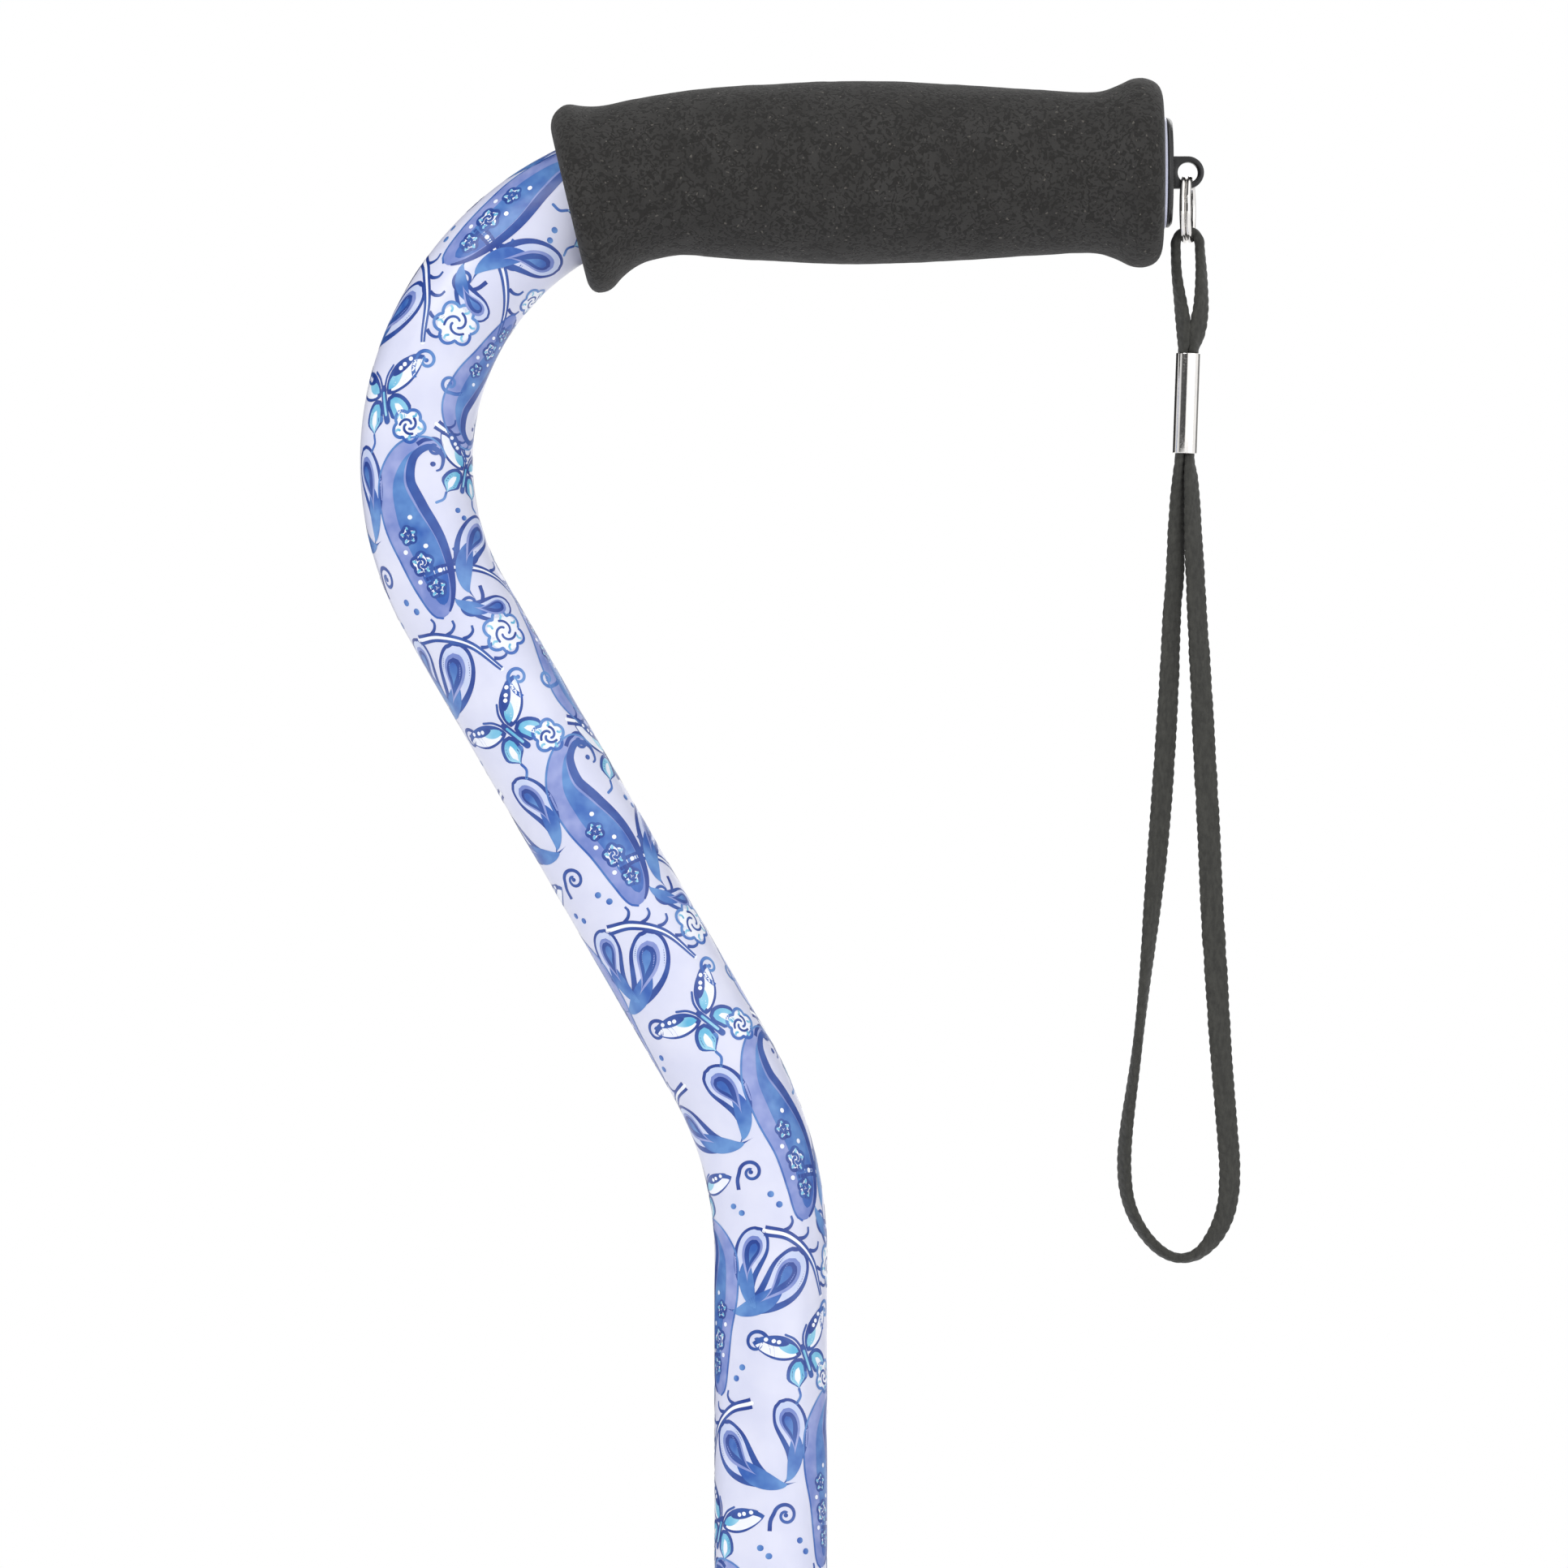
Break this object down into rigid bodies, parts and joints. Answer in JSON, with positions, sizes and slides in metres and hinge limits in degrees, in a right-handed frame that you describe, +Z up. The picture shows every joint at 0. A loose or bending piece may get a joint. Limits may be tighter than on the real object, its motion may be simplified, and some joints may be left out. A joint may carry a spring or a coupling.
{
  "type": "quad walking cane",
  "caption": "Offset-handle walking cane with a foam grip, wrist strap, patterned tube, push-button height adjustment and a four-legged base.",
  "frame": {"origin": "on the floor, at the centre of the base's footprint", "axes": "+Z up; the grip's free end and its strap point along +X, and the user walks on the -Y side, where the shaft stands closer to the tips"},
  "size_m": [0.203, 0.152, 0.871],
  "materials": {
    "printed_tube": "powder coated under a printed transfer, satin",
    "foam": "closed-cell foam, matte",
    "black_plastic": "moulded, semi-gloss",
    "ring_steel": "polished",
    "braid": "flat braided polyester",
    "nylon": "moulded, natural",
    "post_metal": "brushed and anodised",
    "spring_steel": "bright",
    "base_paint": "black powder coat, semi-gloss",
    "zinc_steel": "zinc plated",
    "tip_rubber": "moulded, matte"
  },
  "bodies": {
    "base": {"post_tube": "post_metal", "post_guide": "nylon", "button_spring": "spring_steel", "base_socket": "base_paint", "socket_plug": "black_plastic", "cross_bolt": "zinc_steel", "lock_nut": "zinc_steel", "bolt_washers": "zinc_steel", "leg_inner_front": "base_paint", "leg_inner_rear": "base_paint", "leg_outer_front": "base_paint", "leg_outer_rear": "base_paint", "tip_inner_front": "tip_rubber", "tip_inner_rear": "tip_rubber", "tip_outer_front": "tip_rubber", "tip_outer_rear": "tip_rubber", "tip_washers": "zinc_steel"},
    "handle": {"handle_tube": "printed_tube", "foam_grip": "foam", "end_plug": "black_plastic", "collar_bushing": "black_plastic"},
    "clamp": {"wedge_sleeve": "nylon"},
    "lock": {"lock_ring": "black_plastic"},
    "button": {"snap_button": "ring_steel"},
    "ring": {"split_ring": "ring_steel"},
    "strap": {"wrist_strap": "braid", "crimp_ferrule": "ring_steel"}
  },
  "joints": [
    {"name": "height_adjust", "type": "slide", "parent": "base", "child": "handle", "axis": [0, 0, 1], "range_m": [-0.13335, 0.09525]},
    {"name": "button_press", "type": "slide", "parent": "base", "child": "button", "axis": [0, 1, 0], "range_m": [0, 0.0044], "stiffness_N_per_m": 900, "springref_m": -0.003, "deforming": ["button_spring"]},
    {"name": "wedge_slide", "type": "slide", "parent": "handle", "child": "clamp", "axis": [0, 0, -1], "range_m": [0, 0.002]},
    {"name": "lock_ring_turn", "type": "hinge", "parent": "clamp", "child": "lock", "pos_m": [0, -0.0135, 0.26935], "axis": [0, 0, -1], "range_deg": [0, 360]},
    {"name": "ring_swing", "type": "hinge", "parent": "handle", "child": "ring", "pos_m": [0.0823, -0.0135, 0.85235], "axis": [0, 1, 0], "range_deg": [-90, 0]},
    {"name": "strap_swing", "type": "hinge", "parent": "ring", "child": "strap", "pos_m": [0.0823, -0.0135, 0.8451], "axis": [1, 0, 0], "range_deg": [-60, 60]}
  ],
  "couplings": [
    {"joint": "lock_ring_turn", "follows": "wedge_slide", "rad_per_m": 3141.6}
  ]
}
